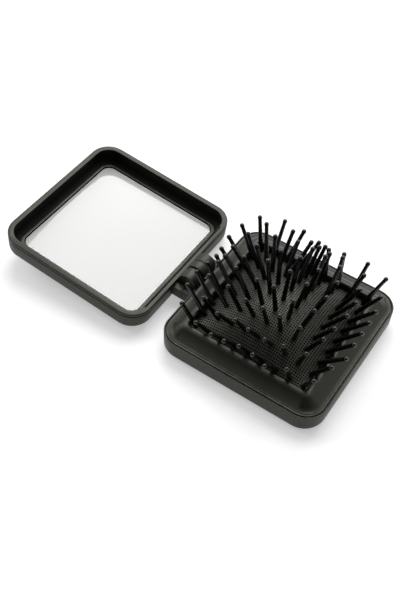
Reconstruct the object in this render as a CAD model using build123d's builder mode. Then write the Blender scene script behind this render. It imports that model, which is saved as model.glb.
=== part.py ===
"""Square folding hairbrush with a mirror, opened out as it lies on a table.

Two shallow square cases share one hinge. The lid holds the mirror. The base holds a domed
rubber cushion with nine rows of ball-tipped pins, and a button under the cushion that pops the
dome up through the frame. Millimetres, Z up, the back of the base on Z = 0, the hinge along Y.
"""
import os
from math import atan2, cos, degrees, pi, radians, sin

from build123d import *

os.makedirs("parts", exist_ok=True)

# Case halves, the same outline for both
case_side = 70.0
case_corner = 9.0
case_depth = 9.5
back_round = 3.0
base_wall = 1.6
lid_wall = 1.2
base_floor = 2.6
lid_floor = 1.3
smallest_corner = 1.0

# Hinge
wall_gap = 8.2
open_angle = 174.36
closed_gap = 0.2
barrel_radius = 4.0
pin_radius = 0.9
pin_end = 0.3
running_clearance = 0.05
hinge_clearance = 0.3
barrel_half = 7.5
base_knuckle_from = -1.15
base_knuckle_to = 2.55
lid_knuckle_near = -2.15
lid_knuckle_far = 2.85
pocket_radius = 5.2
lug_half = 10.9
lug_top = 1.7
lug_bottom = 7.6
lug_foot_round = 1.2
stop_gap = 0.1

# Frame round the cushion
frame_inset = 0.5
seat_gap = 0.1
frame_thickness = 1.4
outer_band_drop = 0.2
step_inset = 1.7
ramp_inset = 2.7
ridge_inset = 7.0
ridge_height = 3.85
ridge_width = 2.35
ramp_wall = 1.6
peg_inset = 6.0
peg_radius = 1.2
peg_length = 4.0
peg_root = 0.5
peg_clearance = 0.05
post_wall = 1.1

# Rubber cushion
rubber = 1.4
flange_width = 3.0
flange_thickness = 1.5
dome_base = 1.2
cushion_gap = 0.3
dome_rise = 10.2
dome_power = 2.3
dome_edge_rise = 0.3
dome_arches = 9
seat_rib = 1.5
collar_radius = 4.6
collar_bore = 3.4
collar_drop = 2.6
collar_lip = 0.5
collar_throat = 2.6

# Pins, in a square grid
pins_each_way = 9
edge_margin = 2.21
pin_sides = 6
pin_foot_radius = 1.02
pin_shoulder_radius = 0.95
pin_stem_radius = 0.87
pin_neck_radius = 0.81
pin_ball_radius = 0.98
pin_shoulder = 6.4
pin_shoulder_length = 0.8
pin_length = 15.0
pin_through = 0.4
lean_step = 0.1453
lean_growth = 0.00473
lean_cross = -0.00936

# Button under the cushion
button_radius = 8.6
button_thickness = 1.8
button_dish = 0.6
button_lip = 0.8
button_clearance = 0.35
button_head_clearance = 0.2
button_head = 1.2
hole_chamfer = 0.6

# Lid lining and mirror
lining_thickness = 1.4
parting_gap = 0.3
rim_chamfer = 0.3
rim_band = 2.4
cove = 1.6
mirror_inset = 6.2
mirror_corner = 3.8
mirror_thickness = 1.0
mirror_drop = 0.3
mirror_gap = 0.2
mirror_bevel = 0.35
tape_thickness = 0.4
tape_inset = 4.0

# Places that follow from these sizes
case_half = case_side / 2
half_gap = wall_gap / 2
opening_half = case_half - ridge_inset - ridge_width
mirror_side = case_side - 2 * mirror_inset
pin_pitch = 2 * (opening_half - edge_margin) / (pins_each_way - 1)
centre_reach = half_gap + case_half
raise_angle = radians(180 - open_angle)
rim_z = case_depth
axis_z = rim_z + closed_gap / 2
far_edge = half_gap + case_side - back_round
lid_reach = (
    far_edge * cos(raise_angle)
    + (case_depth - back_round + closed_gap / 2) * sin(raise_angle)
    + back_round
)
hinge_x = (lid_reach - half_gap - case_side) / 2
base_x = hinge_x + centre_reach
lid_along = Vector(-cos(raise_angle), 0, sin(raise_angle))
lid_up = Vector(sin(raise_angle), 0, cos(raise_angle))
hinge_point = Vector(hinge_x, 0, axis_z)
recess_depth = case_depth - lid_floor - tape_thickness - mirror_thickness - mirror_drop

# Planes on the rim of each half, and a section plane through each half at the hinge
base_rim = Plane(origin=(base_x, 0, rim_z))
lid_rim = Plane(
    origin=hinge_point + lid_along * centre_reach - lid_up * (closed_gap / 2),
    x_dir=lid_along,
    z_dir=lid_up,
)
base_section = Plane(origin=hinge_point, x_dir=(1, 0, 0), z_dir=(0, -1, 0))
lid_section = Plane(origin=hinge_point, x_dir=lid_along, z_dir=(0, 1, 0))
lid_height = Axis(lid_rim.origin, lid_rim.z_dir)
base_stop = Plane(origin=hinge_point + (stop_gap / 2, 0, 0), x_dir=(0, 1, 0), z_dir=(1, 0, 0))
lid_stop = Plane(origin=hinge_point - (stop_gap / 2, 0, 0), x_dir=(0, -1, 0), z_dir=(-1, 0, 0))


def corner_at(half):
    """Corner radius of an outline that runs parallel to the case wall."""
    return max(case_corner - (case_half - half), smallest_corner)


def square(half):
    """Rounded square outline, parallel to the case wall."""
    RectangleRounded(2 * half, 2 * half, corner_at(half))


def lug_outline():
    """Outline of a hinge lug on its stop face, rounded where it ends below."""
    with BuildSketch() as outline:
        with Locations((0, -lug_top)):
            Rectangle(2 * lug_half, lug_bottom - lug_top, align=(Align.CENTER, Align.MAX))
        fillet(outline.vertices().group_by(Axis.Y)[0], lug_foot_round)
    return outline.sketch


def dome_height(x, y):
    """Height of the cushion's crown over its edge at a place measured from its centre."""
    across = 1 - abs(x / dome_half) ** dome_power
    along = 1 - abs(y / dome_half) ** dome_power
    return dome_rise * across * along


def crown(half, foot, top):
    """Arches side by side over a square, low at its edges and full height in the middle."""
    with BuildPart() as solid:
        for arch in range(dome_arches):
            y = half * (2 * arch / (dome_arches - 1) - 1)
            rise = max((top - foot) * (1 - abs(y / half) ** dome_power), dome_edge_rise)
            section = Plane(origin=(base_x, y, rim_z + foot), x_dir=(1, 0, 0), z_dir=(0, -1, 0))
            drop = foot - dome_base + flange_thickness
            with BuildSketch(section):
                with BuildLine():
                    Polyline((half, 0), (half, -drop), (-half, -drop), (-half, 0))
                    ThreePointArc((half, 0), (0, rise), (-half, 0))
                make_face()
        loft(ruled=True)
    return solid.part


dome_half = opening_half - cushion_gap
frame_half = case_half - frame_inset
flange_half = opening_half + flange_width
cushion_top = dome_base + dome_rise
ramp_slope = degrees(atan2(ridge_inset - ramp_inset, ridge_height))

# Base shell: the case half that carries the cushion, with its half of the hinge
with BuildPart() as base_shell:
    with BuildSketch(base_rim.offset(-case_depth)):
        square(case_half)
    extrude(amount=case_depth - outer_band_drop)
    fillet(base_shell.faces().sort_by(Axis.Z)[0].edges(), back_round)
    with BuildSketch(base_rim.offset(base_floor - case_depth)):
        square(case_half - base_wall)
    extrude(amount=case_depth, mode=Mode.SUBTRACT)
    with BuildSketch(base_rim.offset(-frame_thickness)):
        square(frame_half)
    extrude(amount=case_depth, mode=Mode.SUBTRACT)
    # Rib that carries the cushion's flange
    with BuildSketch(base_rim.offset(base_floor - case_depth)):
        square(flange_half)
        with BuildSketch(mode=Mode.SUBTRACT):
            square(flange_half - seat_rib)
    extrude(amount=case_depth - base_floor + dome_base - flange_thickness)
    # Posts that take the frame's corner pegs
    with BuildSketch(base_rim.offset(base_floor - case_depth)):
        with GridLocations(2 * (case_half - peg_inset), 2 * (case_half - peg_inset), 2, 2):
            Circle(peg_radius + post_wall)
    extrude(amount=case_depth - base_floor - frame_thickness)
    with BuildSketch(base_rim.offset(base_floor - case_depth)):
        with GridLocations(2 * (case_half - peg_inset), 2 * (case_half - peg_inset), 2, 2):
            Circle(peg_radius + peg_clearance)
    extrude(amount=case_depth, mode=Mode.SUBTRACT)
    # Pocket round the barrel, then the lug and the middle knuckle
    with BuildSketch(base_section):
        Circle(pocket_radius)
    extrude(amount=barrel_half + hinge_clearance, both=True, mode=Mode.SUBTRACT)
    with BuildSketch(base_stop):
        add(lug_outline())
    extrude(amount=half_gap - stop_gap / 2 + base_wall / 2)
    with BuildSketch(base_section):
        Circle(barrel_radius + hinge_clearance)
    extrude(amount=barrel_half + hinge_clearance, both=True, mode=Mode.SUBTRACT)
    with BuildSketch(base_section.offset(-base_knuckle_to)):
        Circle(barrel_radius)
        with Locations((0, -closed_gap / 2)):
            Rectangle(
                half_gap + base_wall / 2,
                barrel_radius - closed_gap / 2,
                align=(Align.MIN, Align.MAX),
            )
    extrude(amount=base_knuckle_to - base_knuckle_from)
    with BuildSketch(base_section):
        Circle(pin_radius + running_clearance)
    extrude(amount=lug_half, both=True, mode=Mode.SUBTRACT)
    # Finger hole under the button
    with BuildSketch(base_rim.offset(-case_depth)):
        Circle(button_radius + button_clearance)
    extrude(amount=base_floor, mode=Mode.SUBTRACT)
    rim_edge = (
        base_shell.edges()
        .filter_by(GeomType.CIRCLE)
        .filter_by(lambda e: abs(e.radius - button_radius - button_clearance) < 0.01)
        .sort_by(Axis.Z)[0]
    )
    chamfer(rim_edge, hole_chamfer)

# Frame: flat bands on the rim, a ramp up to a ridge, and the square opening for the cushion
with BuildPart() as brush_frame:
    with BuildSketch(base_rim.offset(-frame_thickness)):
        square(frame_half - seat_gap)
    extrude(amount=frame_thickness - outer_band_drop)
    with BuildSketch(base_rim.offset(-frame_thickness)):
        square(case_half - step_inset)
    extrude(amount=frame_thickness)
    with BuildSketch(base_rim):
        square(case_half - ramp_inset)
    extrude(amount=ridge_height, taper=ramp_slope)
    # Hollow under the ramp, down the skirt that holds the flange in place
    with BuildSketch(base_rim.offset(-frame_thickness)):
        square(case_half - ramp_inset - ramp_wall)
    extrude(amount=ridge_height - ramp_wall, taper=ramp_slope, mode=Mode.SUBTRACT)
    with BuildSketch(base_rim.offset(-frame_thickness)):
        square(flange_half + seat_gap + ramp_wall / 2)
        with BuildSketch(mode=Mode.SUBTRACT):
            square(flange_half + seat_gap)
    extrude(amount=frame_thickness + dome_base)
    with BuildSketch(base_rim.offset(-frame_thickness)):
        square(flange_half + seat_gap)
    extrude(amount=frame_thickness + dome_base, mode=Mode.SUBTRACT)
    with BuildSketch(base_rim.offset(-frame_thickness)):
        square(opening_half)
    extrude(amount=frame_thickness + ridge_height, mode=Mode.SUBTRACT)
    with BuildSketch(base_rim.offset(peg_root)):
        with GridLocations(2 * (case_half - peg_inset), 2 * (case_half - peg_inset), 2, 2):
            Circle(peg_radius)
    extrude(amount=-peg_root - frame_thickness - peg_length)
    with BuildSketch(base_section):
        Circle(pocket_radius)
    extrude(amount=barrel_half + hinge_clearance, both=True, mode=Mode.SUBTRACT)


def pin_plane(row, column):
    """Plane across a pin where it leaves the crown, normal to the pin."""
    middle = (pins_each_way - 1) / 2
    i = column - middle
    j = row - middle
    lean_x = i * (lean_step + lean_growth * i * i + lean_cross * j * j)
    lean_y = j * (lean_step + lean_growth * j * j + lean_cross * i * i)
    x = i * pin_pitch
    y = j * pin_pitch
    foot = Vector(base_x + x, y, rim_z + dome_base + dome_height(x, y))
    return Plane(origin=foot, x_dir=(0, -1, 0), z_dir=Vector(lean_x, lean_y, 1))


def slope(wide, narrow, height):
    """Draft angle of a pin's flat sides between two corner radii."""
    return degrees(atan2((wide - narrow) * cos(pi / pin_sides), height))


def pin_solid():
    """One pin along Z: a stout foot through the rubber, a thinner stem and a ball tip."""
    rings = (
        (-rubber - pin_through, pin_foot_radius),
        (pin_shoulder, pin_shoulder_radius),
        (pin_shoulder + pin_shoulder_length, pin_stem_radius),
        (pin_length - pin_ball_radius, pin_neck_radius),
    )
    with BuildPart() as solid:
        with BuildSketch(Plane.XY.offset(pin_length)):
            RegularPolygon(pin_ball_radius, pin_sides)
        extrude(
            amount=pin_ball_radius,
            taper=slope(pin_ball_radius, pin_neck_radius, pin_ball_radius),
        )
        mirror(about=Plane.XY.offset(pin_length))
        for (low, low_radius), (high, high_radius) in zip(rings, rings[1:]):
            with BuildSketch(Plane.XY.offset(low)):
                RegularPolygon(low_radius, pin_sides)
            extrude(amount=high - low, taper=slope(low_radius, high_radius, high - low))
    return solid.part


pin = pin_solid()

# Cushion: a hollow crown of rubber with a flat flange, and a collar below for the button
with BuildPart() as cushion:
    add(crown(dome_half, dome_base, cushion_top))
    add(crown(dome_half - rubber, dome_base - rubber / 2, cushion_top - rubber), mode=Mode.SUBTRACT)
    with BuildSketch(base_rim.offset(dome_base - flange_thickness)):
        square(flange_half)
        Rectangle(2 * (dome_half - rubber), 2 * (dome_half - rubber), mode=Mode.SUBTRACT)
    extrude(amount=flange_thickness)
    with BuildSketch(base_rim.offset(cushion_top - rubber - collar_drop)):
        Circle(collar_radius)
    extrude(amount=collar_drop + rubber / 2)
    with BuildSketch(base_rim.offset(cushion_top - rubber - collar_drop + collar_lip)):
        Circle(collar_bore)
    extrude(amount=collar_drop - collar_lip, mode=Mode.SUBTRACT)
    with BuildSketch(base_rim.offset(cushion_top - rubber - collar_drop)):
        Circle(collar_throat)
    extrude(amount=collar_drop, mode=Mode.SUBTRACT)

# Push button: a dished disc whose headed stud is held in the cushion's collar
button_top = cushion_top - rubber - collar_drop - button_head_clearance
with BuildPart() as push_button:
    with BuildSketch(base_rim.offset(button_top - button_thickness)):
        Circle(button_radius)
    extrude(amount=button_thickness)
    with BuildSketch(base_rim.offset(button_top)):
        Circle(collar_throat - button_head_clearance)
    extrude(amount=2 * button_head_clearance + collar_lip)
    with BuildSketch(base_rim.offset(button_top + 2 * button_head_clearance + collar_lip)):
        Circle(collar_bore - button_head_clearance)
    extrude(amount=button_head)
    with BuildSketch(base_rim.offset(button_top - button_thickness)):
        Circle(button_radius - button_lip)
    extrude(amount=button_dish, mode=Mode.SUBTRACT)

# Lid shell: the case half behind the mirror, with the two outer knuckles
with BuildPart() as lid_shell:
    with BuildSketch(lid_rim.offset(-case_depth)):
        square(case_half)
    extrude(amount=case_depth - lining_thickness - parting_gap)
    fillet(lid_shell.faces().filter_by(lid_rim).sort_by(lid_height)[0].edges(), back_round)
    with BuildSketch(lid_rim.offset(lid_floor - case_depth)):
        square(case_half - lid_wall)
    extrude(amount=case_depth, mode=Mode.SUBTRACT)
    with BuildSketch(lid_stop):
        add(lug_outline())
    extrude(amount=half_gap + lid_wall / 2, dir=lid_along)
    with BuildSketch(lid_section):
        Circle(barrel_radius + hinge_clearance)
    extrude(amount=barrel_half + hinge_clearance, both=True, mode=Mode.SUBTRACT)
    for low, high in ((-barrel_half, lid_knuckle_near), (lid_knuckle_far, barrel_half)):
        with BuildSketch(lid_section.offset(low)):
            Circle(barrel_radius)
            with Locations((0, -closed_gap / 2)):
                Rectangle(
                    half_gap,
                    barrel_radius - closed_gap / 2,
                    align=(Align.MIN, Align.MAX),
                )
            with Locations((0, -lining_thickness - parting_gap - closed_gap / 2)):
                Rectangle(
                    half_gap + lid_wall / 2,
                    barrel_radius - lining_thickness - parting_gap - closed_gap / 2,
                    align=(Align.MIN, Align.MAX),
                )
        extrude(amount=high - low)
    with BuildSketch(lid_section):
        Circle(pin_radius)
    extrude(amount=lug_half, both=True, mode=Mode.SUBTRACT)

# Lining: the rim band, the deep inner wall and the ring of floor round the mirror
with BuildPart() as mirror_frame:
    with BuildSketch(lid_rim.offset(-lining_thickness)):
        square(case_half)
    extrude(amount=lining_thickness)
    chamfer(mirror_frame.faces().filter_by(lid_rim).sort_by(lid_height)[-1].edges(), rim_chamfer)
    with BuildSketch(lid_rim.offset(lid_floor - case_depth)):
        square(case_half - lid_wall - seat_gap)
    extrude(amount=case_depth - lid_floor - lining_thickness)
    with BuildSketch(lid_rim.offset(-recess_depth)):
        square(case_half - rim_band)
    extrude(amount=recess_depth, mode=Mode.SUBTRACT)
    chamfer(mirror_frame.faces().filter_by(lid_rim).sort_by(lid_height)[1].edges(), cove)
    with BuildSketch(lid_rim.offset(-case_depth)):
        mirror_hole = mirror_side + 2 * mirror_gap
        RectangleRounded(mirror_hole, mirror_hole, mirror_corner + mirror_gap)
    extrude(amount=case_depth, mode=Mode.SUBTRACT)
    with BuildSketch(lid_section.offset(base_knuckle_from - hinge_clearance)):
        Circle(barrel_radius + hinge_clearance)
    extrude(
        amount=base_knuckle_to - base_knuckle_from + 2 * hinge_clearance,
        mode=Mode.SUBTRACT,
    )

# Mirror glass with a fine bevel, on a pad of tape
with BuildPart() as mirror:
    with BuildSketch(lid_rim.offset(-recess_depth - mirror_drop - mirror_thickness)):
        RectangleRounded(mirror_side, mirror_side, mirror_corner)
    extrude(amount=mirror_thickness)
    chamfer(mirror.faces().filter_by(lid_rim).sort_by(lid_height)[-1].edges(), mirror_bevel)

with BuildPart() as mirror_tape:
    with BuildSketch(lid_rim.offset(lid_floor - case_depth)):
        tape_side = mirror_side - 2 * tape_inset
        Rectangle(tape_side, tape_side)
    extrude(amount=tape_thickness)

# Steel pin through the three knuckles
with BuildPart() as hinge_pin:
    with BuildSketch(base_section):
        Circle(pin_radius)
    extrude(amount=barrel_half - pin_end, both=True)


def save(part, name):
    """Label a finished piece and write its file."""
    part.label = name
    export_step(part, f"parts/{name}.step")


save(base_shell.part, "base_shell")
save(brush_frame.part, "brush_frame")
save(cushion.part, "cushion")
save(push_button.part, "push_button")
save(lid_shell.part, "lid_shell")
save(mirror_frame.part, "mirror_frame")
save(mirror.part, "mirror")
save(mirror_tape.part, "mirror_tape")
save(hinge_pin.part, "hinge_pin")
for row in range(pins_each_way):
    with BuildPart() as pin_row:
        with Locations(*[pin_plane(row, column) for column in range(pins_each_way)]):
            add(pin)
    save(pin_row.part, f"pin_row_{row + 1}")
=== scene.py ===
# %% [markdown]
# # A folding travel hairbrush with a mirror
#
# This notebook dresses a square folding hairbrush. One half is a shallow case with a mirror sunk
# into it, the other holds a domed rubber cushion with nine rows of ball-tipped pins, and a barrel
# hinge joins the two. The CAD model gives every body and its place, so each piece below is made
# where it belongs, and then rides on its body.

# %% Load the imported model
from math import radians

import bmesh
import bpy
from mathutils import Matrix, Vector


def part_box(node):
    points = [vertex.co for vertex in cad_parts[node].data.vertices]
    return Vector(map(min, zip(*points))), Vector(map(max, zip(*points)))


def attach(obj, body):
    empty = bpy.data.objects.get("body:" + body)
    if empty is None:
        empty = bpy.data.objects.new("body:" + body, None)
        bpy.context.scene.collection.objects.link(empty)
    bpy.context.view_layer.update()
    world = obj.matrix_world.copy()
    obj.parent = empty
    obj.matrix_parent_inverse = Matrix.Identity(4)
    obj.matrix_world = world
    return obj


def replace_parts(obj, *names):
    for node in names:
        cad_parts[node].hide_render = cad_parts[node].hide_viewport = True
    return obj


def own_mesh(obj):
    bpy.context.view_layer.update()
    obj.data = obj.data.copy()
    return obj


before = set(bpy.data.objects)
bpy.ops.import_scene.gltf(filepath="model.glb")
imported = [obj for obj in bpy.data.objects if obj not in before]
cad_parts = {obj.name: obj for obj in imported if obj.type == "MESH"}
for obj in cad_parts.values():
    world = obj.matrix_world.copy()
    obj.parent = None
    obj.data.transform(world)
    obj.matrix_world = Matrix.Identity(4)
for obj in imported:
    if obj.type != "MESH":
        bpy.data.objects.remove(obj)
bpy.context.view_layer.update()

MM = 0.001

# %% [markdown]
# ## Camera
#
# The photo looks down on the open brush from in front and to the right. Its lens and its place
# were fitted to points on the outlines of both halves and the mirror, in units of the 70 mm side.
# A camera in Blender looks along its own -Z. It is rolled a little about that line, then tilted up
# from the vertical, and then turned round the Z axis.

# %% Camera
LOOKS_DOWN = 51.618
TURNED = 32.155
ROLLED = 2.606

base_rim = Vector((39.252, 0.0, 9.5)) * MM
camera_data = bpy.data.cameras.new("photo_lens")
camera_data.sensor_width = 36.0
camera_data.lens = 50.14
camera_data.clip_start = 0.01
camera = bpy.data.objects.new("photo_camera", camera_data)
bpy.context.scene.collection.objects.link(camera)
turn = (
    Matrix.Rotation(radians(TURNED), 4, "Z")
    @ Matrix.Rotation(radians(90 - LOOKS_DOWN), 4, "X")
    @ Matrix.Rotation(radians(ROLLED), 4, "Z")
)
camera_place = base_rim + Vector((78.80, -184.14, 257.73)) * MM
camera.matrix_world = Matrix.Translation(camera_place) @ turn
bpy.context.scene.camera = camera
print("Camera stands", round(camera_place.length * 1000), "mm from the frame's origin")

# %% [markdown]
# ## Floor and light
#
# The brush lies on a white table under soft boxes. A wide plane is the table, which glows a little
# so that its shadow stays light, and for the camera fades to plain white further out. Two area
# lamps stand in for the soft boxes, one behind and above, which the mirror and the rims reflect,
# and one low on the left. The world fills in the rest: it is bright behind and above, and darker
# behind the photographer, so the faces that look forwards stay dark, as they do in the photo.

# %% Floor and light
TABLE_GLOW = 0.42
JUST_BELOW = -0.0002

bm = bmesh.new()
bmesh.ops.create_grid(bm, x_segments=1, y_segments=1, size=4.0)
floor_mesh = bpy.data.meshes.new("table_top")
bm.to_mesh(floor_mesh)
bm.free()
floor = bpy.data.objects.new("table_top", floor_mesh)
bpy.context.scene.collection.objects.link(floor)
floor.location.z = JUST_BELOW


def new_material(name):
    """An empty material with an output, ready for its shader."""
    material = bpy.data.materials.new(name)
    material.use_nodes = True
    material.node_tree.nodes.clear()
    material.node_tree.nodes.new("ShaderNodeOutputMaterial")
    return material, material.node_tree


paper, tree = new_material("white_table")
matte = tree.nodes.new("ShaderNodeBsdfDiffuse")
matte.inputs["Color"].default_value = (0.82, 0.82, 0.82, 1)
glow = tree.nodes.new("ShaderNodeEmission")
glow.inputs["Color"].default_value = (1, 1, 1, 1)
place = tree.nodes.new("ShaderNodeTexCoord")
distance = tree.nodes.new("ShaderNodeVectorMath")
distance.operation = "LENGTH"
fade = tree.nodes.new("ShaderNodeMapRange")
fade.interpolation_type = "SMOOTHSTEP"
fade.inputs["From Min"].default_value = 0.1
fade.inputs["From Max"].default_value = 0.6
path = tree.nodes.new("ShaderNodeLightPath")
strength = tree.nodes.new("ShaderNodeMath")
strength.operation = "MULTIPLY_ADD"
strength.inputs[2].default_value = TABLE_GLOW
tree.links.new(place.outputs["Object"], distance.inputs[0])
tree.links.new(distance.outputs["Value"], fade.inputs["Value"])
tree.links.new(fade.outputs["Result"], strength.inputs[0])
tree.links.new(path.outputs["Is Camera Ray"], strength.inputs[1])
tree.links.new(strength.outputs[0], glow.inputs["Strength"])
both = tree.nodes.new("ShaderNodeAddShader")
tree.links.new(matte.outputs[0], both.inputs[0])
tree.links.new(glow.outputs[0], both.inputs[1])
tree.links.new(both.outputs[0], tree.nodes["Material Output"].inputs["Surface"])
floor_mesh.materials.append(paper)

world = bpy.data.worlds.new("studio")
world.use_nodes = True
bpy.context.scene.world = world
sky = world.node_tree
background = sky.nodes["Background"]
background.inputs["Color"].default_value = (1, 1, 1, 1)


def sky_node(kind, operation=None):
    """A new node in the world, with its operation where it has one."""
    node = sky.nodes.new(kind)
    if operation:
        node.operation = operation
    return node


direction = sky_node("ShaderNodeTexCoord")
towards_window = sky_node("ShaderNodeVectorMath", "DOT_PRODUCT")
towards_window.inputs[1].default_value = Vector((-0.2, 0.9, 0.35)).normalized()
front_to_back = sky_node("ShaderNodeMapRange")
front_to_back.interpolation_type = "SMOOTHSTEP"
front_to_back.inputs["From Min"].default_value = -0.6
front_to_back.inputs["From Max"].default_value = 0.85
front_to_back.inputs["To Min"].default_value = 0.06
front_to_back.inputs["To Max"].default_value = 1.0
path = sky_node("ShaderNodeLightPath")
shine = sky_node("ShaderNodeMapRange")
shine.inputs["To Min"].default_value = 0.5
shine.inputs["To Max"].default_value = 1.0
room = sky_node("ShaderNodeMath", "MULTIPLY")
seen = sky_node("ShaderNodeMath", "MAXIMUM")
strength = sky_node("ShaderNodeMath", "MAXIMUM")
sky.links.new(direction.outputs["Generated"], towards_window.inputs[0])
sky.links.new(towards_window.outputs["Value"], front_to_back.inputs["Value"])
sky.links.new(path.outputs["Is Glossy Ray"], shine.inputs["Value"])
sky.links.new(front_to_back.outputs["Result"], room.inputs[0])
sky.links.new(shine.outputs["Result"], room.inputs[1])
sky.links.new(path.outputs["Is Camera Ray"], seen.inputs[0])
sky.links.new(path.outputs["Is Transmission Ray"], seen.inputs[1])
sky.links.new(seen.outputs[0], strength.inputs[0])
sky.links.new(room.outputs[0], strength.inputs[1])
sky.links.new(strength.outputs[0], background.inputs["Strength"])


def soft_box(name, place, size, power):
    """Add a square area lamp at place, facing the frame's origin."""
    data = bpy.data.lights.new(name, "AREA")
    data.shape = "SQUARE"
    data.size = size
    data.energy = power
    lamp = bpy.data.objects.new(name, data)
    lamp.location = place
    lamp.rotation_euler = (-Vector(place)).to_track_quat("-Z", "Y").to_euler()
    bpy.context.scene.collection.objects.link(lamp)


soft_box("soft_box_back", (-0.25, 0.75, 1.1), 1.0, 14)
soft_box("soft_box_left", (-1.1, -0.1, 0.75), 0.7, 5)
bpy.context.scene.view_settings.view_transform = "Standard"
lamps = [o.name for o in bpy.context.scene.objects if o.type == "LIGHT"]
print("The table is lit by", " and ".join(lamps))

# %% [markdown]
# ## Rounded edges for the moulded pieces
#
# Moulded plastic never has a knife edge: each corner catches a thin line of light. The CAD meshes
# have the right shape with sharp edges, and they come as loose triangles. So a copy is merged, its
# flat triangles are joined into whole faces, and only the sharp edges that are left get a small
# bevel. That is quicker and truer than drawing the cases again.

# %% Softened copies
FINE_ROUND = 0.1 * MM
WORN_ROUND = 1.0 * MM


def finish_piece(name, bm, body, material, sharp_angle=30):
    """Make a shown piece from a bmesh: smooth shading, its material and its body."""
    mesh = bpy.data.meshes.new(name)
    bm.to_mesh(mesh)
    bm.free()
    mesh.shade_smooth()
    mesh.set_sharp_from_angle(angle=radians(sharp_angle))
    mesh.materials.append(material)
    piece = bpy.data.objects.new(name, mesh)
    bpy.context.scene.collection.objects.link(piece)
    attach(piece, body)
    return piece


def merged_copy(node):
    """The node's mesh as a closed bmesh with whole flat faces."""
    bm = bmesh.new()
    bm.from_mesh(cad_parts[node].data)
    bmesh.ops.remove_doubles(bm, verts=bm.verts, dist=0.002 * MM)
    bmesh.ops.dissolve_limit(
        bm, angle_limit=radians(0.4), verts=bm.verts, edges=bm.edges, delimit={"NORMAL"}
    )
    return bm


def round_edges(bm, picked, size, segments):
    """Round the closed edges that picked accepts, and say how many they were."""
    edges = [edge for edge in bm.edges if edge.is_manifold and picked(edge)]
    bmesh.ops.bevel(
        bm, geom=edges, offset=size, segments=segments, profile=0.5, affect="EDGES",
        clamp_overlap=False, material=-1,
    )
    return len(edges)


def soften(bm, size, least_angle=35):
    """Give every sharp outer edge that is left a small round."""
    sharp = radians(least_angle)
    count = round_edges(bm, lambda e: e.is_convex and e.calc_face_angle() > sharp, size, 2)
    print("Softened", count, "edges:", len(bm.faces), "faces")


# %% [markdown]
# ## Plastic
#
# The cases have a dark olive soft-touch coat. Its shine is broad and weak, so the roughness is
# high, and two noises break it up: a very fine one for the grain and a wide one for handling.

# %% Plastic materials
def plastic(name, colour, roughness, grain, depth, specular=0.5, sheen_tint=(1.0, 1.0, 0.86)):
    """Plastic whose shine varies a little, with a grain of this size and depth in mm."""
    material, tree = new_material(name)
    shader = tree.nodes.new("ShaderNodeBsdfPrincipled")
    shader.inputs["Specular IOR Level"].default_value = specular
    shader.inputs["Specular Tint"].default_value = (*sheen_tint, 1)
    place = tree.nodes.new("ShaderNodeTexCoord")
    wide = tree.nodes.new("ShaderNodeTexNoise")
    wide.inputs["Scale"].default_value = 70.0
    wide.inputs["Detail"].default_value = 3.0
    shine = tree.nodes.new("ShaderNodeMapRange")
    shine.inputs["From Min"].default_value = 0.3
    shine.inputs["From Max"].default_value = 0.7
    shine.inputs["To Min"].default_value = roughness - 0.05
    shine.inputs["To Max"].default_value = roughness + 0.05
    tint = tree.nodes.new("ShaderNodeMix")
    tint.data_type = "RGBA"
    tint.inputs["A"].default_value = (*[c * 0.88 for c in colour], 1)
    tint.inputs["B"].default_value = (*[c * 1.12 for c in colour], 1)
    fine = tree.nodes.new("ShaderNodeTexNoise")
    fine.inputs["Scale"].default_value = 1 / (grain * MM)
    fine.inputs["Detail"].default_value = 1.0
    bump = tree.nodes.new("ShaderNodeBump")
    bump.inputs["Strength"].default_value = 0.5
    bump.inputs["Distance"].default_value = depth * MM
    links = tree.links
    links.new(place.outputs["Object"], wide.inputs["Vector"])
    links.new(place.outputs["Object"], fine.inputs["Vector"])
    links.new(wide.outputs["Fac"], shine.inputs["Value"])
    links.new(shine.outputs["Result"], shader.inputs["Roughness"])
    links.new(wide.outputs["Fac"], tint.inputs["Factor"])
    links.new(tint.outputs["Result"], shader.inputs["Base Color"])
    links.new(fine.outputs["Fac"], bump.inputs["Height"])
    links.new(bump.outputs["Normal"], shader.inputs["Normal"])
    links.new(shader.outputs[0], tree.nodes["Material Output"].inputs["Surface"])
    return material


soft_touch = plastic(
    "soft_touch_case", (0.0125, 0.0125, 0.0105), roughness=0.45, grain=0.22, depth=0.02,
    specular=0.42,
)
satin_frame = plastic(
    "satin_frame", (0.005, 0.005, 0.0042), roughness=0.40, grain=0.3, depth=0.02, specular=0.42
)
# Near-black, duller plastic: painted shade for the lining's inner side and its slot.
painted_shade_lining = plastic(
    "painted_shade_lining", (0.001, 0.001, 0.0008), roughness=0.6, grain=0.3, depth=0.02, specular=0.11
)
gloss_black = plastic(
    "gloss_pin_plastic", (0.0012, 0.0012, 0.0012), roughness=0.2, grain=0.5, depth=0.01,
    sheen_tint=(1, 1, 1),
)
plastics = (soft_touch, satin_frame, painted_shade_lining, gloss_black)
print("Plastics:", ", ".join(material.name for material in plastics))

# %% [markdown]
# ## The two case halves
#
# Each half is a shell with a rounded back, moulded in the olive plastic. Both are softened copies
# of their CAD nodes.

# %% Case halves
for node, body in (("base_shell", "base"), ("lid_shell", "lid")):
    bm = merged_copy(node)
    soften(bm, FINE_ROUND)
    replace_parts(finish_piece(f"soft_{node}", bm, body, soft_touch), node)

# %% [markdown]
# ## Parting lines
#
# Where two mouldings meet, the joint between them shows as a fine dark line, and it is darker than
# the CAD gap would be, because real edges are drawn back a little. So the faces along the joint
# are sunk: each of their corners moves against the mean of their directions, which keeps the
# rounded corners of the case round.

# %% Sunk faces
PARTING = 0.3 * MM


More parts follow.
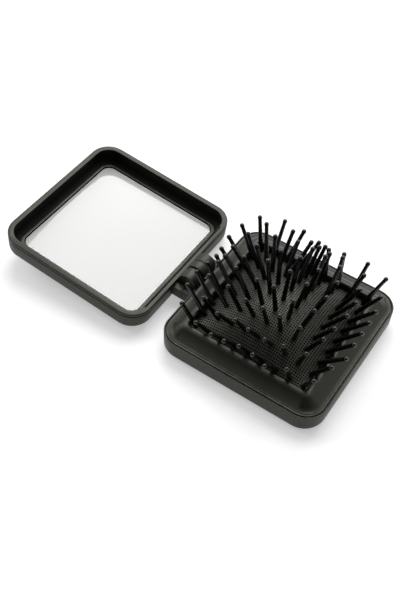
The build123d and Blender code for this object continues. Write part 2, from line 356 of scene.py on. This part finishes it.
def sink(bm, picked):
    """Move the faces that picked accepts inwards, for a parting line."""
    faces = [face for face in bm.faces if picked(face)]
    for vert in {vert for face in faces for vert in face.verts}:
        away = sum((f.normal for f in vert.link_faces if f in faces), Vector())
        vert.co -= away.normalized() * PARTING
    print("Sank", len(faces), "faces by", round(PARTING / MM, 2), "mm")


# %% [markdown]
# ## The frame round the brush
#
# The frame's ramp rises to a ridge round the square opening. The ridge is worn rounder than the
# rest, so its two edges get a wider rounding: they are found as the sharp edges at the frame's top.
# Its outer wall stands in the base's rim, and is sunk for the parting line.

# %% Frame
WALL_TOP = -0.2 * MM
WALL_FOOT = -1.4 * MM
ridge_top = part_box("brush_frame")[1][2]


def near(value, wanted, slack=0.02 * MM):
    """Whether a length is what is wanted, but for a little slack."""
    return abs(value - wanted) < slack


def frame_side(face):
    """Whether a face is part of the frame's outer wall, by its heights from the base's rim."""
    heights = [vert.co.z - base_rim.z for vert in face.verts]
    return near(min(heights), WALL_FOOT) and near(max(heights), WALL_TOP)


def ridge_edge(edge):
    """Whether an edge lies on either side of the top of the frame's ridge."""
    on_top = all(near(vert.co.z, ridge_top, 0.05 * MM) for vert in edge.verts)
    return on_top and any(face.normal.z < 0.95 for face in edge.link_faces)


bm = merged_copy("brush_frame")
sink(bm, frame_side)
print("Rounded", round_edges(bm, ridge_edge, WORN_ROUND, 4), "edges of the ridge")
soften(bm, FINE_ROUND)
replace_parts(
    finish_piece("soft_brush_frame", bm, "base", satin_frame), "brush_frame"
)

# %% [markdown]
# ## The lid's lining
#
# The lining is one moulding: the flat rim, a steep inner wall, and a cove at its foot that runs
# out to the mirror. The CAD cove is a plain chamfer, so its two edges are rounded wide. A fine slot
# runs along the rim on the hinge's side, between the two corners. It is cut as a real one: four
# planes mark it out on the rim's flat top, and the strip between them is pushed down.

# %% Lining
SLOT_NEAR = 5.7 * MM
SLOT_FAR = 6.15 * MM
SLOT_FROM = -27 * MM
SLOT_TO = 26 * MM
SLOT_DEPTH = 0.6 * MM
LINING_FOOT = 1.4 * MM

# The lid's own directions, out of the mirror and away from the hinge. The start is the place
# where the plane of its rim passes over the hinge.
lid_up = max(
    (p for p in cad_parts["mirror"].data.polygons if p.normal.z > 0.5), key=lambda p: p.area
).normal.copy()
along_hinge = Vector((0, 1, 0))
lid_along = along_hinge.cross(lid_up).normalized() * -1
lid_top = max(v.co.dot(lid_up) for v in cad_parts["mirror_frame"].data.vertices)
rim_start = Vector((0, 0, lid_top / lid_up.z))


def depth_in_lid(place):
    """How far a place lies below the plane of the lid's rim."""
    return lid_top - place.dot(lid_up)


def lining_foot(face):
    """Whether a face is the underside of the lining's rim, which meets the lid."""
    drop = depth_in_lid(face.calc_center_median())
    return face.normal.dot(lid_up) < -0.9 and near(drop, LINING_FOOT, 0.05 * MM)


def cove_edge(edge):
    """Whether an edge lies on either side of the sloping cove."""
    slopes = [face.normal.dot(lid_up) for face in edge.link_faces]
    deep = all(depth_in_lid(vert.co) > 1.0 * MM for vert in edge.verts)
    return deep and any(0.6 < slope < 0.8 for slope in slopes) and edge.calc_face_angle() > 0.6


def rim_faces(bm):
    """The faces of the rim's flat top."""
    level = [face for face in bm.faces if face.normal.dot(lid_up) > 0.99]
    return [face for face in level if depth_in_lid(face.verts[0].co) < 0.05 * MM]


def in_strip(place):
    """Whether a place lies within the slot's strip, seen from above the lid."""
    from_hinge = (place - rim_start).dot(lid_along)
    return SLOT_NEAR < from_hinge < SLOT_FAR and SLOT_FROM < place.y < SLOT_TO


def cut_slot(bm):
    """Mark out the slot on the rim with four planes, and push the strip between them down."""
    across = ((lid_along, SLOT_NEAR), (lid_along, SLOT_FAR))
    ends = ((along_hinge, SLOT_FROM), (along_hinge, SLOT_TO))
    for way, reach in (*across, *ends):
        parts = (part for face in rim_faces(bm) for part in (*face.verts, *face.edges, face))
        bmesh.ops.bisect_plane(
            bm, geom=list(dict.fromkeys(parts)), plane_co=rim_start + way * reach, plane_no=way,
            dist=1e-7,
        )
    strip = [face for face in rim_faces(bm) if in_strip(face.calc_center_median())]
    pushed = bmesh.ops.extrude_face_region(bm, geom=strip)["geom"]
    verts = [part for part in pushed if isinstance(part, bmesh.types.BMVert)]
    bmesh.ops.translate(bm, vec=lid_up * -SLOT_DEPTH, verts=verts)
    bmesh.ops.delete(bm, geom=strip, context="FACES_ONLY")
    print("The slot is cut from", len(strip), "faces")


bm = merged_copy("mirror_frame")
sink(bm, lining_foot)
cut_slot(bm)
print("Rounded", round_edges(bm, cove_edge, WORN_ROUND, 5), "edges of the cove")
soften(bm, FINE_ROUND)
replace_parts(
    finish_piece("soft_mirror_frame", bm, "lid", soft_touch), "mirror_frame"
)

# %% [markdown]
# The lining's rim has the soft coat of the case. Its inner side gets painted shade: the wall, the
# cove and the slot take a near-black, duller plastic, and the floor round the mirror takes the
# darker satin plastic of the frame, for the shade deep in the lid. The slot is found by its
# distance from the hinge, the floor round the mirror as the level faces that lie deep, and the wall
# and the cove as the faces below the rim that look at the middle of the lid.

# %% Painted shade on the inner side
# Material slots of the painted shade: near-black for the wall, the cove and the slot, satin for the
# deep floor.
SHADED_WALL = 1
SHADED_FLOOR = 2
lining = bpy.data.objects["soft_mirror_frame"].data
lining.materials.append(painted_shade_lining)
lining.materials.append(satin_frame)
low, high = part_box("mirror")
mirror_middle = (Vector(low) + Vector(high)) / 2
faces_of = [0, 0, 0]
for polygon in lining.polygons:
    upwards = polygon.normal.dot(lid_up)
    inwards = polygon.normal.dot((mirror_middle - polygon.center).normalized())
    depth = depth_in_lid(polygon.center)
    from_hinge = (polygon.center - rim_start).dot(lid_along)
    beside_slot = SLOT_NEAR - 0.03 * MM < from_hinge < SLOT_FAR + 0.04 * MM
    # Painted shade: near-black on the slot's sides, the wall and the cove, and the darker satin
    # plastic on the deep floor.
    if beside_slot and 0.05 * MM < depth < SLOT_DEPTH + 0.1 * MM:
        polygon.material_index = SHADED_WALL
    elif upwards > 0.999 and depth > 1.0 * MM:
        polygon.material_index = SHADED_FLOOR
    elif inwards > -0.1 and upwards > -0.5 and depth > 0.1 * MM:
        polygon.material_index = SHADED_WALL
    faces_of[polygon.material_index] += 1
print("The lining has rim, wall and floor faces:", faces_of)

# %% [markdown]
# ## The rubber cushion
#
# The cushion is a thin rubber crown that stands up out of the frame's square opening. Its height
# falls off from the middle as one smooth curve along both sides, so a flat grid is made first and
# each point is lifted by that curve. Its edge is drawn down inside the opening, and a coarser crown
# below it, turned over and bridged to it, gives the rubber its thickness.
#
# The rubber is moulded with a fine net of square dimples, a little under a millimetre apart. The
# grid has four squares for each of them, each way: a line of the net, a steep side, the dimple's
# floor and its other side. The points of the floor sink, so the dimples are real hollows, and their
# faces take a darker, duller rubber as painted shade, because little light gets into them.

# %% Cushion
DOME_HALF = 25.35
DOME_RISE = 10.2
DOME_FOOT = 1.2
SHOULDER = 2.3
SKIRT = 1.5
RUBBER = 1.2
UNDERSIDE_SQUARES = 24
DIMPLES = 54
DIMPLE_DEPTH = 0.35
NET = (0.0, 0.42, 0.5, 0.92)

# The crown and the pins are drawn in mm from the middle of the base's rim.
to_frame = Matrix.Translation(base_rim) @ Matrix.Diagonal((MM, MM, MM, 1))


def crown_height(x, y):
    """Height of the rubber above its own edge, for a place in mm from the middle."""
    share = (1 - abs(x / DOME_HALF) ** SHOULDER) * (1 - abs(y / DOME_HALF) ** SHOULDER)
    return DOME_RISE * max(share, 0.0)


def crown_sheet(squares, half, foot, dimple=0):
    """A square sheet of rubber lifted by the crown, with its edge drawn down."""
    bm = bmesh.new()
    bmesh.ops.create_grid(bm, x_segments=squares, y_segments=squares, size=half)
    sunk = set()
    for vert in bm.verts:
        if dimple:
            lines = [round((v / half + 1) * squares / 2) for v in vert.co.xy]
            cell = 2 * half / DIMPLES
            vert.co.x, vert.co.y = (cell * (n // 4 + NET[n % 4]) - half for n in lines)
            if all(n % 4 > 1 for n in lines):
                sunk.add(vert)
        share = DOME_HALF / half
        vert.co.z = foot + crown_height(vert.co.x * share, vert.co.y * share)
    for vert in sunk:
        vert.co.z -= dimple
    # Faces that touch a sunk point take the second material, painted shade for the hollows.
    for face in bm.faces:
        face.material_index = int(any(vert in sunk for vert in face.verts))
    rim = [e for e in bm.edges if e.is_boundary]
    skirt = bmesh.ops.extrude_edge_only(bm, edges=rim)["geom"]
    for vert in (v for v in skirt if isinstance(v, bmesh.types.BMVert)):
        vert.co.z = DOME_FOOT - SKIRT
    return bm


inner = crown_sheet(UNDERSIDE_SQUARES, DOME_HALF - RUBBER, DOME_FOOT - RUBBER)
bmesh.ops.reverse_faces(inner, faces=inner.faces[:])
inner_mesh = bpy.data.meshes.new("under_the_crown")
inner.to_mesh(inner_mesh)
inner.free()
bm = crown_sheet(4 * DIMPLES, DOME_HALF, DOME_FOOT, DIMPLE_DEPTH)
bm.from_mesh(inner_mesh)
bmesh.ops.bridge_loops(bm, edges=[e for e in bm.edges if e.is_boundary])
bmesh.ops.transform(bm, matrix=to_frame, verts=bm.verts)
open_edges = sum(e.is_boundary for e in bm.edges)
print("The cushion has", len(bm.faces), "faces and", open_edges, "open edges")

# %% Rubber material
rubber = plastic(
    "moulded_rubber", (0.012, 0.012, 0.0102), roughness=0.5, grain=0.25, depth=0.015, specular=0.6
)
# A darker, duller rubber for the dimples' hollows: painted shade.
painted_shade_rubber = plastic(
    "painted_shade_rubber", (0.002, 0.002, 0.0017), roughness=0.8, grain=0.25, depth=0.015, specular=0.1
)
cushion = finish_piece("rubber_cushion", bm, "base", rubber)
cushion.data.materials.append(painted_shade_rubber)
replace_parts(cushion, "cushion")
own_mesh(cushion)
print("The cushion has", DIMPLES * DIMPLES, "dimples, in", painted_shade_rubber.name)

# %% [markdown]
# ## The pins
#
# Each of the 81 pins is one lathe shape: a stout foot, a short taper to a thinner stem and a
# ball. A circle is extruded ring by ring and scaled, which gives a round pin with few faces. The
# copies stand at the grid's places on the crown, and lean outwards with it. On a brush in use
# hardly two pins point the same way, and those at the middle of the back have been pushed
# together, so the table BENT adds to each pin's lean.

# %% One pin
# The height and the radius of each ring, in mm from where the pin leaves the rubber.
PIN_RINGS = (
    (-1.2, 1.02), (0.0, 1.00), (6.0, 0.94), (6.6, 0.91), (7.2, 0.86), (10.5, 0.82), (13.8, 0.78),
    (14.25, 0.80), (14.55, 0.89), (15.0, 0.97), (15.4, 0.88), (15.72, 0.65), (15.92, 0.30),
)


def pin_shape():
    """A pin along Z, its foot at the origin, in mm."""
    bm = bmesh.new()
    height, radius = PIN_RINGS[0]
    bmesh.ops.create_circle(bm, cap_ends=True, segments=10, radius=radius)
    bmesh.ops.translate(bm, vec=(0, 0, height), verts=bm.verts)
    foot = top = bm.faces[:]
    for next_height, next_radius in PIN_RINGS[1:]:
        below = top
        top = bmesh.ops.extrude_face_region(bm, geom=below)["geom"]
        ring = [g for g in top if isinstance(g, bmesh.types.BMVert)]
        top = [g for g in top if isinstance(g, bmesh.types.BMFace)]
        if below != foot:
            bmesh.ops.delete(bm, geom=below, context="FACES_ONLY")
        bmesh.ops.translate(bm, vec=(0, 0, next_height - height), verts=ring)
        grow = next_radius / radius
        bmesh.ops.scale(bm, vec=(grow, grow, 1), verts=ring)
        height, radius = next_height, next_radius
    bmesh.ops.recalc_face_normals(bm, faces=bm.faces)
    return bm


one_pin = bpy.data.meshes.new("one_pin")
bm = pin_shape()
print("One pin has", len(bm.faces), "faces")
bm.to_mesh(one_pin)
bm.free()

# %% Nine rows of nine
PITCH = 5.86
LEAN = 0.1453
LEAN_GROWS = 0.00473
LEAN_LESS_AT_CORNERS = 0.00936

# Nine pairs for each row, with the rows from the front to the back and the pairs from the hinge
# outwards. A pair adds to the pin's slope along X and along Y.
BENT = (
    ((-0.06, 0.05), (0, -0.02), (0.03, 0.04), (-0.03, 0.17), (-0.04, 0.3), (-0.04, 0.24),
     (-0.09, 0), (-0.06, 0.09), (0.08, -0.05)),
    ((-0.12, 0.1), (-0.02, -0.01), (0.01, -0.15), (0.03, -0.01), (-0.03, -0.06), (-0.02, -0.11),
     (-0.04, -0.05), (-0.04, 0), (0.01, -0.04)),
    ((-0.08, 0.16), (-0.26, 0.14), (-0.04, 0.02), (0.03, -0.1), (0.01, -0.06), (-0.05, -0.04),
     (-0.03, -0.05), (-0.02, 0.01), (0.08, -0.06)),
    ((0.22, 0.05), (-0.28, 0.19), (-0.16, 0.07), (0, -0.05), (-0.07, -0.01), (0, -0.1),
     (-0.03, -0.01), (-0.01, -0.07), (-0.09, -0.02)),
    ((0.37, -0.04), (-0.15, -0.08), (-0.17, -0.03), (-0.08, 0.09), (0.02, 0.07), (0.01, -0.02),
     (0, 0), (0.05, 0.01), (-0.14, -0.01)),
    ((0.25, -0.13), (-0.2, -0.14), (-0.12, -0.01), (0.01, 0.03), (-0.01, 0.11), (0.02, 0.04),
     (0, 0.09), (0.06, 0.06), (-0.1, -0.01)),
    ((-0.03, -0.01), (-0.19, 0.06), (0.04, 0.08), (0.11, 0.17), (0.04, 0.17), (-0.08, 0.14),
     (-0.16, 0.12), (0, 0), (-0.03, -0.03)),
    ((-0.14, 0.12), (-0.24, 0.43), (0.15, 0.2), (0.31, -0.09), (0.11, -0.24), (-0.03, -0.27),
     (-0.22, 0.04), (-0.04, 0.01), (0.01, -0.02)),
    ((-0.04, 0.02), (-0.07, 0.43), (0.2, -0.11), (0.33, -0.46), (0.14, -0.62), (-0.13, -0.64),
     (-0.18, -0.35), (0, 0.04), (0.07, 0.07)),
)


def grid_lean(along, across):
    """A pin's regular slope along one side, for its place in pitches along it and across it."""
    return along * (LEAN + LEAN_GROWS * along * along - LEAN_LESS_AT_CORNERS * across * across)


def pin_place(row, column):
    """Where a pin leaves the crown and which way it leans, as a matrix in mm."""
    i, j = column - 4, row - 4
    bent_x, bent_y = BENT[row][column]
    lean = Vector((grid_lean(i, j) + bent_x, grid_lean(j, i) + bent_y, 1))
    x, y = i * PITCH, j * PITCH
    foot = Matrix.Translation((x, y, DOME_FOOT + crown_height(x, y)))
    return foot @ lean.to_track_quat("Z", "Y").to_matrix().to_4x4()


for row in range(9):
    bm = bmesh.new()
    for column in range(9):
        before = len(bm.verts)
        bm.from_mesh(one_pin)
        bm.verts.ensure_lookup_table()
        bmesh.ops.transform(
            bm, matrix=to_frame @ pin_place(row, column), verts=bm.verts[before:]
        )
    piece = finish_piece(
        f"pins_row_{row + 1}", bm, "base", gloss_black, sharp_angle=60
    )
    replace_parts(piece, f"pin_row_{row + 1}")
    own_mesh(piece)
    print(piece.name, "has", len(piece.data.polygons), "faces")

# %% [markdown]
# ## The mirror
#
# The glass is a thin silvered plate. Its pale colour is a painted reflection of the white studio,
# with hardly a reflection of the walls beside it. One shader stands for it: a smooth pale grey with
# a little metal in it. Its colour follows the distance to the plate's edge, through a ramp over the
# outer 1.3 mm: the pale middle, a thin dark line, and a brighter margin, which is a painted
# reflection as well.

# %% Mirror
GLASS_ROUND = 0.08 * MM
RAMP_WIDTH = 1.3 * MM
CORNER_BLEND = 3 * MM
# The ramp's grey levels: the pale middle and the brighter margin are painted reflection, with a
# thin dark line between them.
PALE_REFLECTION = 0.66
THIN_DARK_LINE = 0.3
REFLECTION_INSIDE = 0.85
REFLECTION_AT_EDGE = 0.97

silver, tree = new_material("silvered_glass")
links = tree.links
low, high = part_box("mirror")
middle = (Vector(low) + Vector(high)) / 2
half = (high[1] - low[1]) / 2
print("The mirror is", round(2 * half / MM, 1), "mm square")
place = tree.nodes.new("ShaderNodeTexCoord")
centre = tree.nodes.new("ShaderNodeMapping")
centre.inputs["Location"].default_value = (-middle.x, -middle.y, 0)
axes = tree.nodes.new("ShaderNodeSeparateXYZ")
links.new(place.outputs["Object"], centre.inputs["Vector"])
links.new(centre.outputs["Vector"], axes.inputs["Vector"])
far = []
for axis in ("X", "Y"):
    distance = tree.nodes.new("ShaderNodeMath")
    distance.operation = "ABSOLUTE"
    links.new(axes.outputs[axis], distance.inputs[0])
    far.append(distance)
farther = tree.nodes.new("ShaderNodeMath")
farther.operation = "SMOOTH_MAX"
farther.inputs[2].default_value = CORNER_BLEND
links.new(far[0].outputs[0], farther.inputs[0])
links.new(far[1].outputs[0], farther.inputs[1])
reflection_ramp = tree.nodes.new("ShaderNodeValToRGB")
reflection_ramp.color_ramp.interpolation = "LINEAR"
reach = tree.nodes.new("ShaderNodeMapRange")
reach.inputs["From Min"].default_value = half - RAMP_WIDTH
reach.inputs["From Max"].default_value = half
links.new(farther.outputs[0], reach.inputs["Value"])
links.new(reach.outputs["Result"], reflection_ramp.inputs["Fac"])
stops = reflection_ramp.color_ramp.elements
stops[0].color = (PALE_REFLECTION, PALE_REFLECTION, PALE_REFLECTION - 0.005, 1)
stops[1].color = (REFLECTION_AT_EDGE, REFLECTION_AT_EDGE, REFLECTION_AT_EDGE, 1)
for position, level in ((0.28, PALE_REFLECTION), (0.36, THIN_DARK_LINE), (0.44, REFLECTION_INSIDE)):
    stop = stops.new(position)
    stop.color = (level, level, level, 1)
shader = tree.nodes.new("ShaderNodeBsdfPrincipled")
links.new(reflection_ramp.outputs["Color"], shader.inputs["Base Color"])
shader.inputs["Metallic"].default_value = 0.06
shader.inputs["Specular IOR Level"].default_value = 0.3
shader.inputs["Roughness"].default_value = 0.06
links.new(shader.outputs[0], tree.nodes["Material Output"].inputs["Surface"])
bm = merged_copy("mirror")
soften(bm, GLASS_ROUND, least_angle=20)
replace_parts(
    finish_piece("mirror_plate", bm, "lid", silver, sharp_angle=20), "mirror"
)

# %% [markdown]
# ## What hardly shows
#
# The hinge pin, the tape behind the glass and the button under the cushion keep their CAD shape,
# and only get a finish.

# %% Small pieces
steel, tree = new_material("hinge_steel")
shader = tree.nodes.new("ShaderNodeBsdfPrincipled")
shader.inputs["Base Color"].default_value = (0.5, 0.5, 0.5, 1)
shader.inputs["Metallic"].default_value = 1.0
shader.inputs["Roughness"].default_value = 0.35
tree.links.new(shader.outputs[0], tree.nodes["Material Output"].inputs["Surface"])
foam = plastic("white_foam", (0.7, 0.7, 0.68), roughness=0.8, grain=0.4, depth=0.1)
for node, material in (("hinge_pin", steel), ("mirror_tape", foam), ("push_button", soft_touch)):
    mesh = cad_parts[node].data
    mesh.materials.clear()
    mesh.materials.append(material)
    print(node, "keeps its shape and is", material.name)
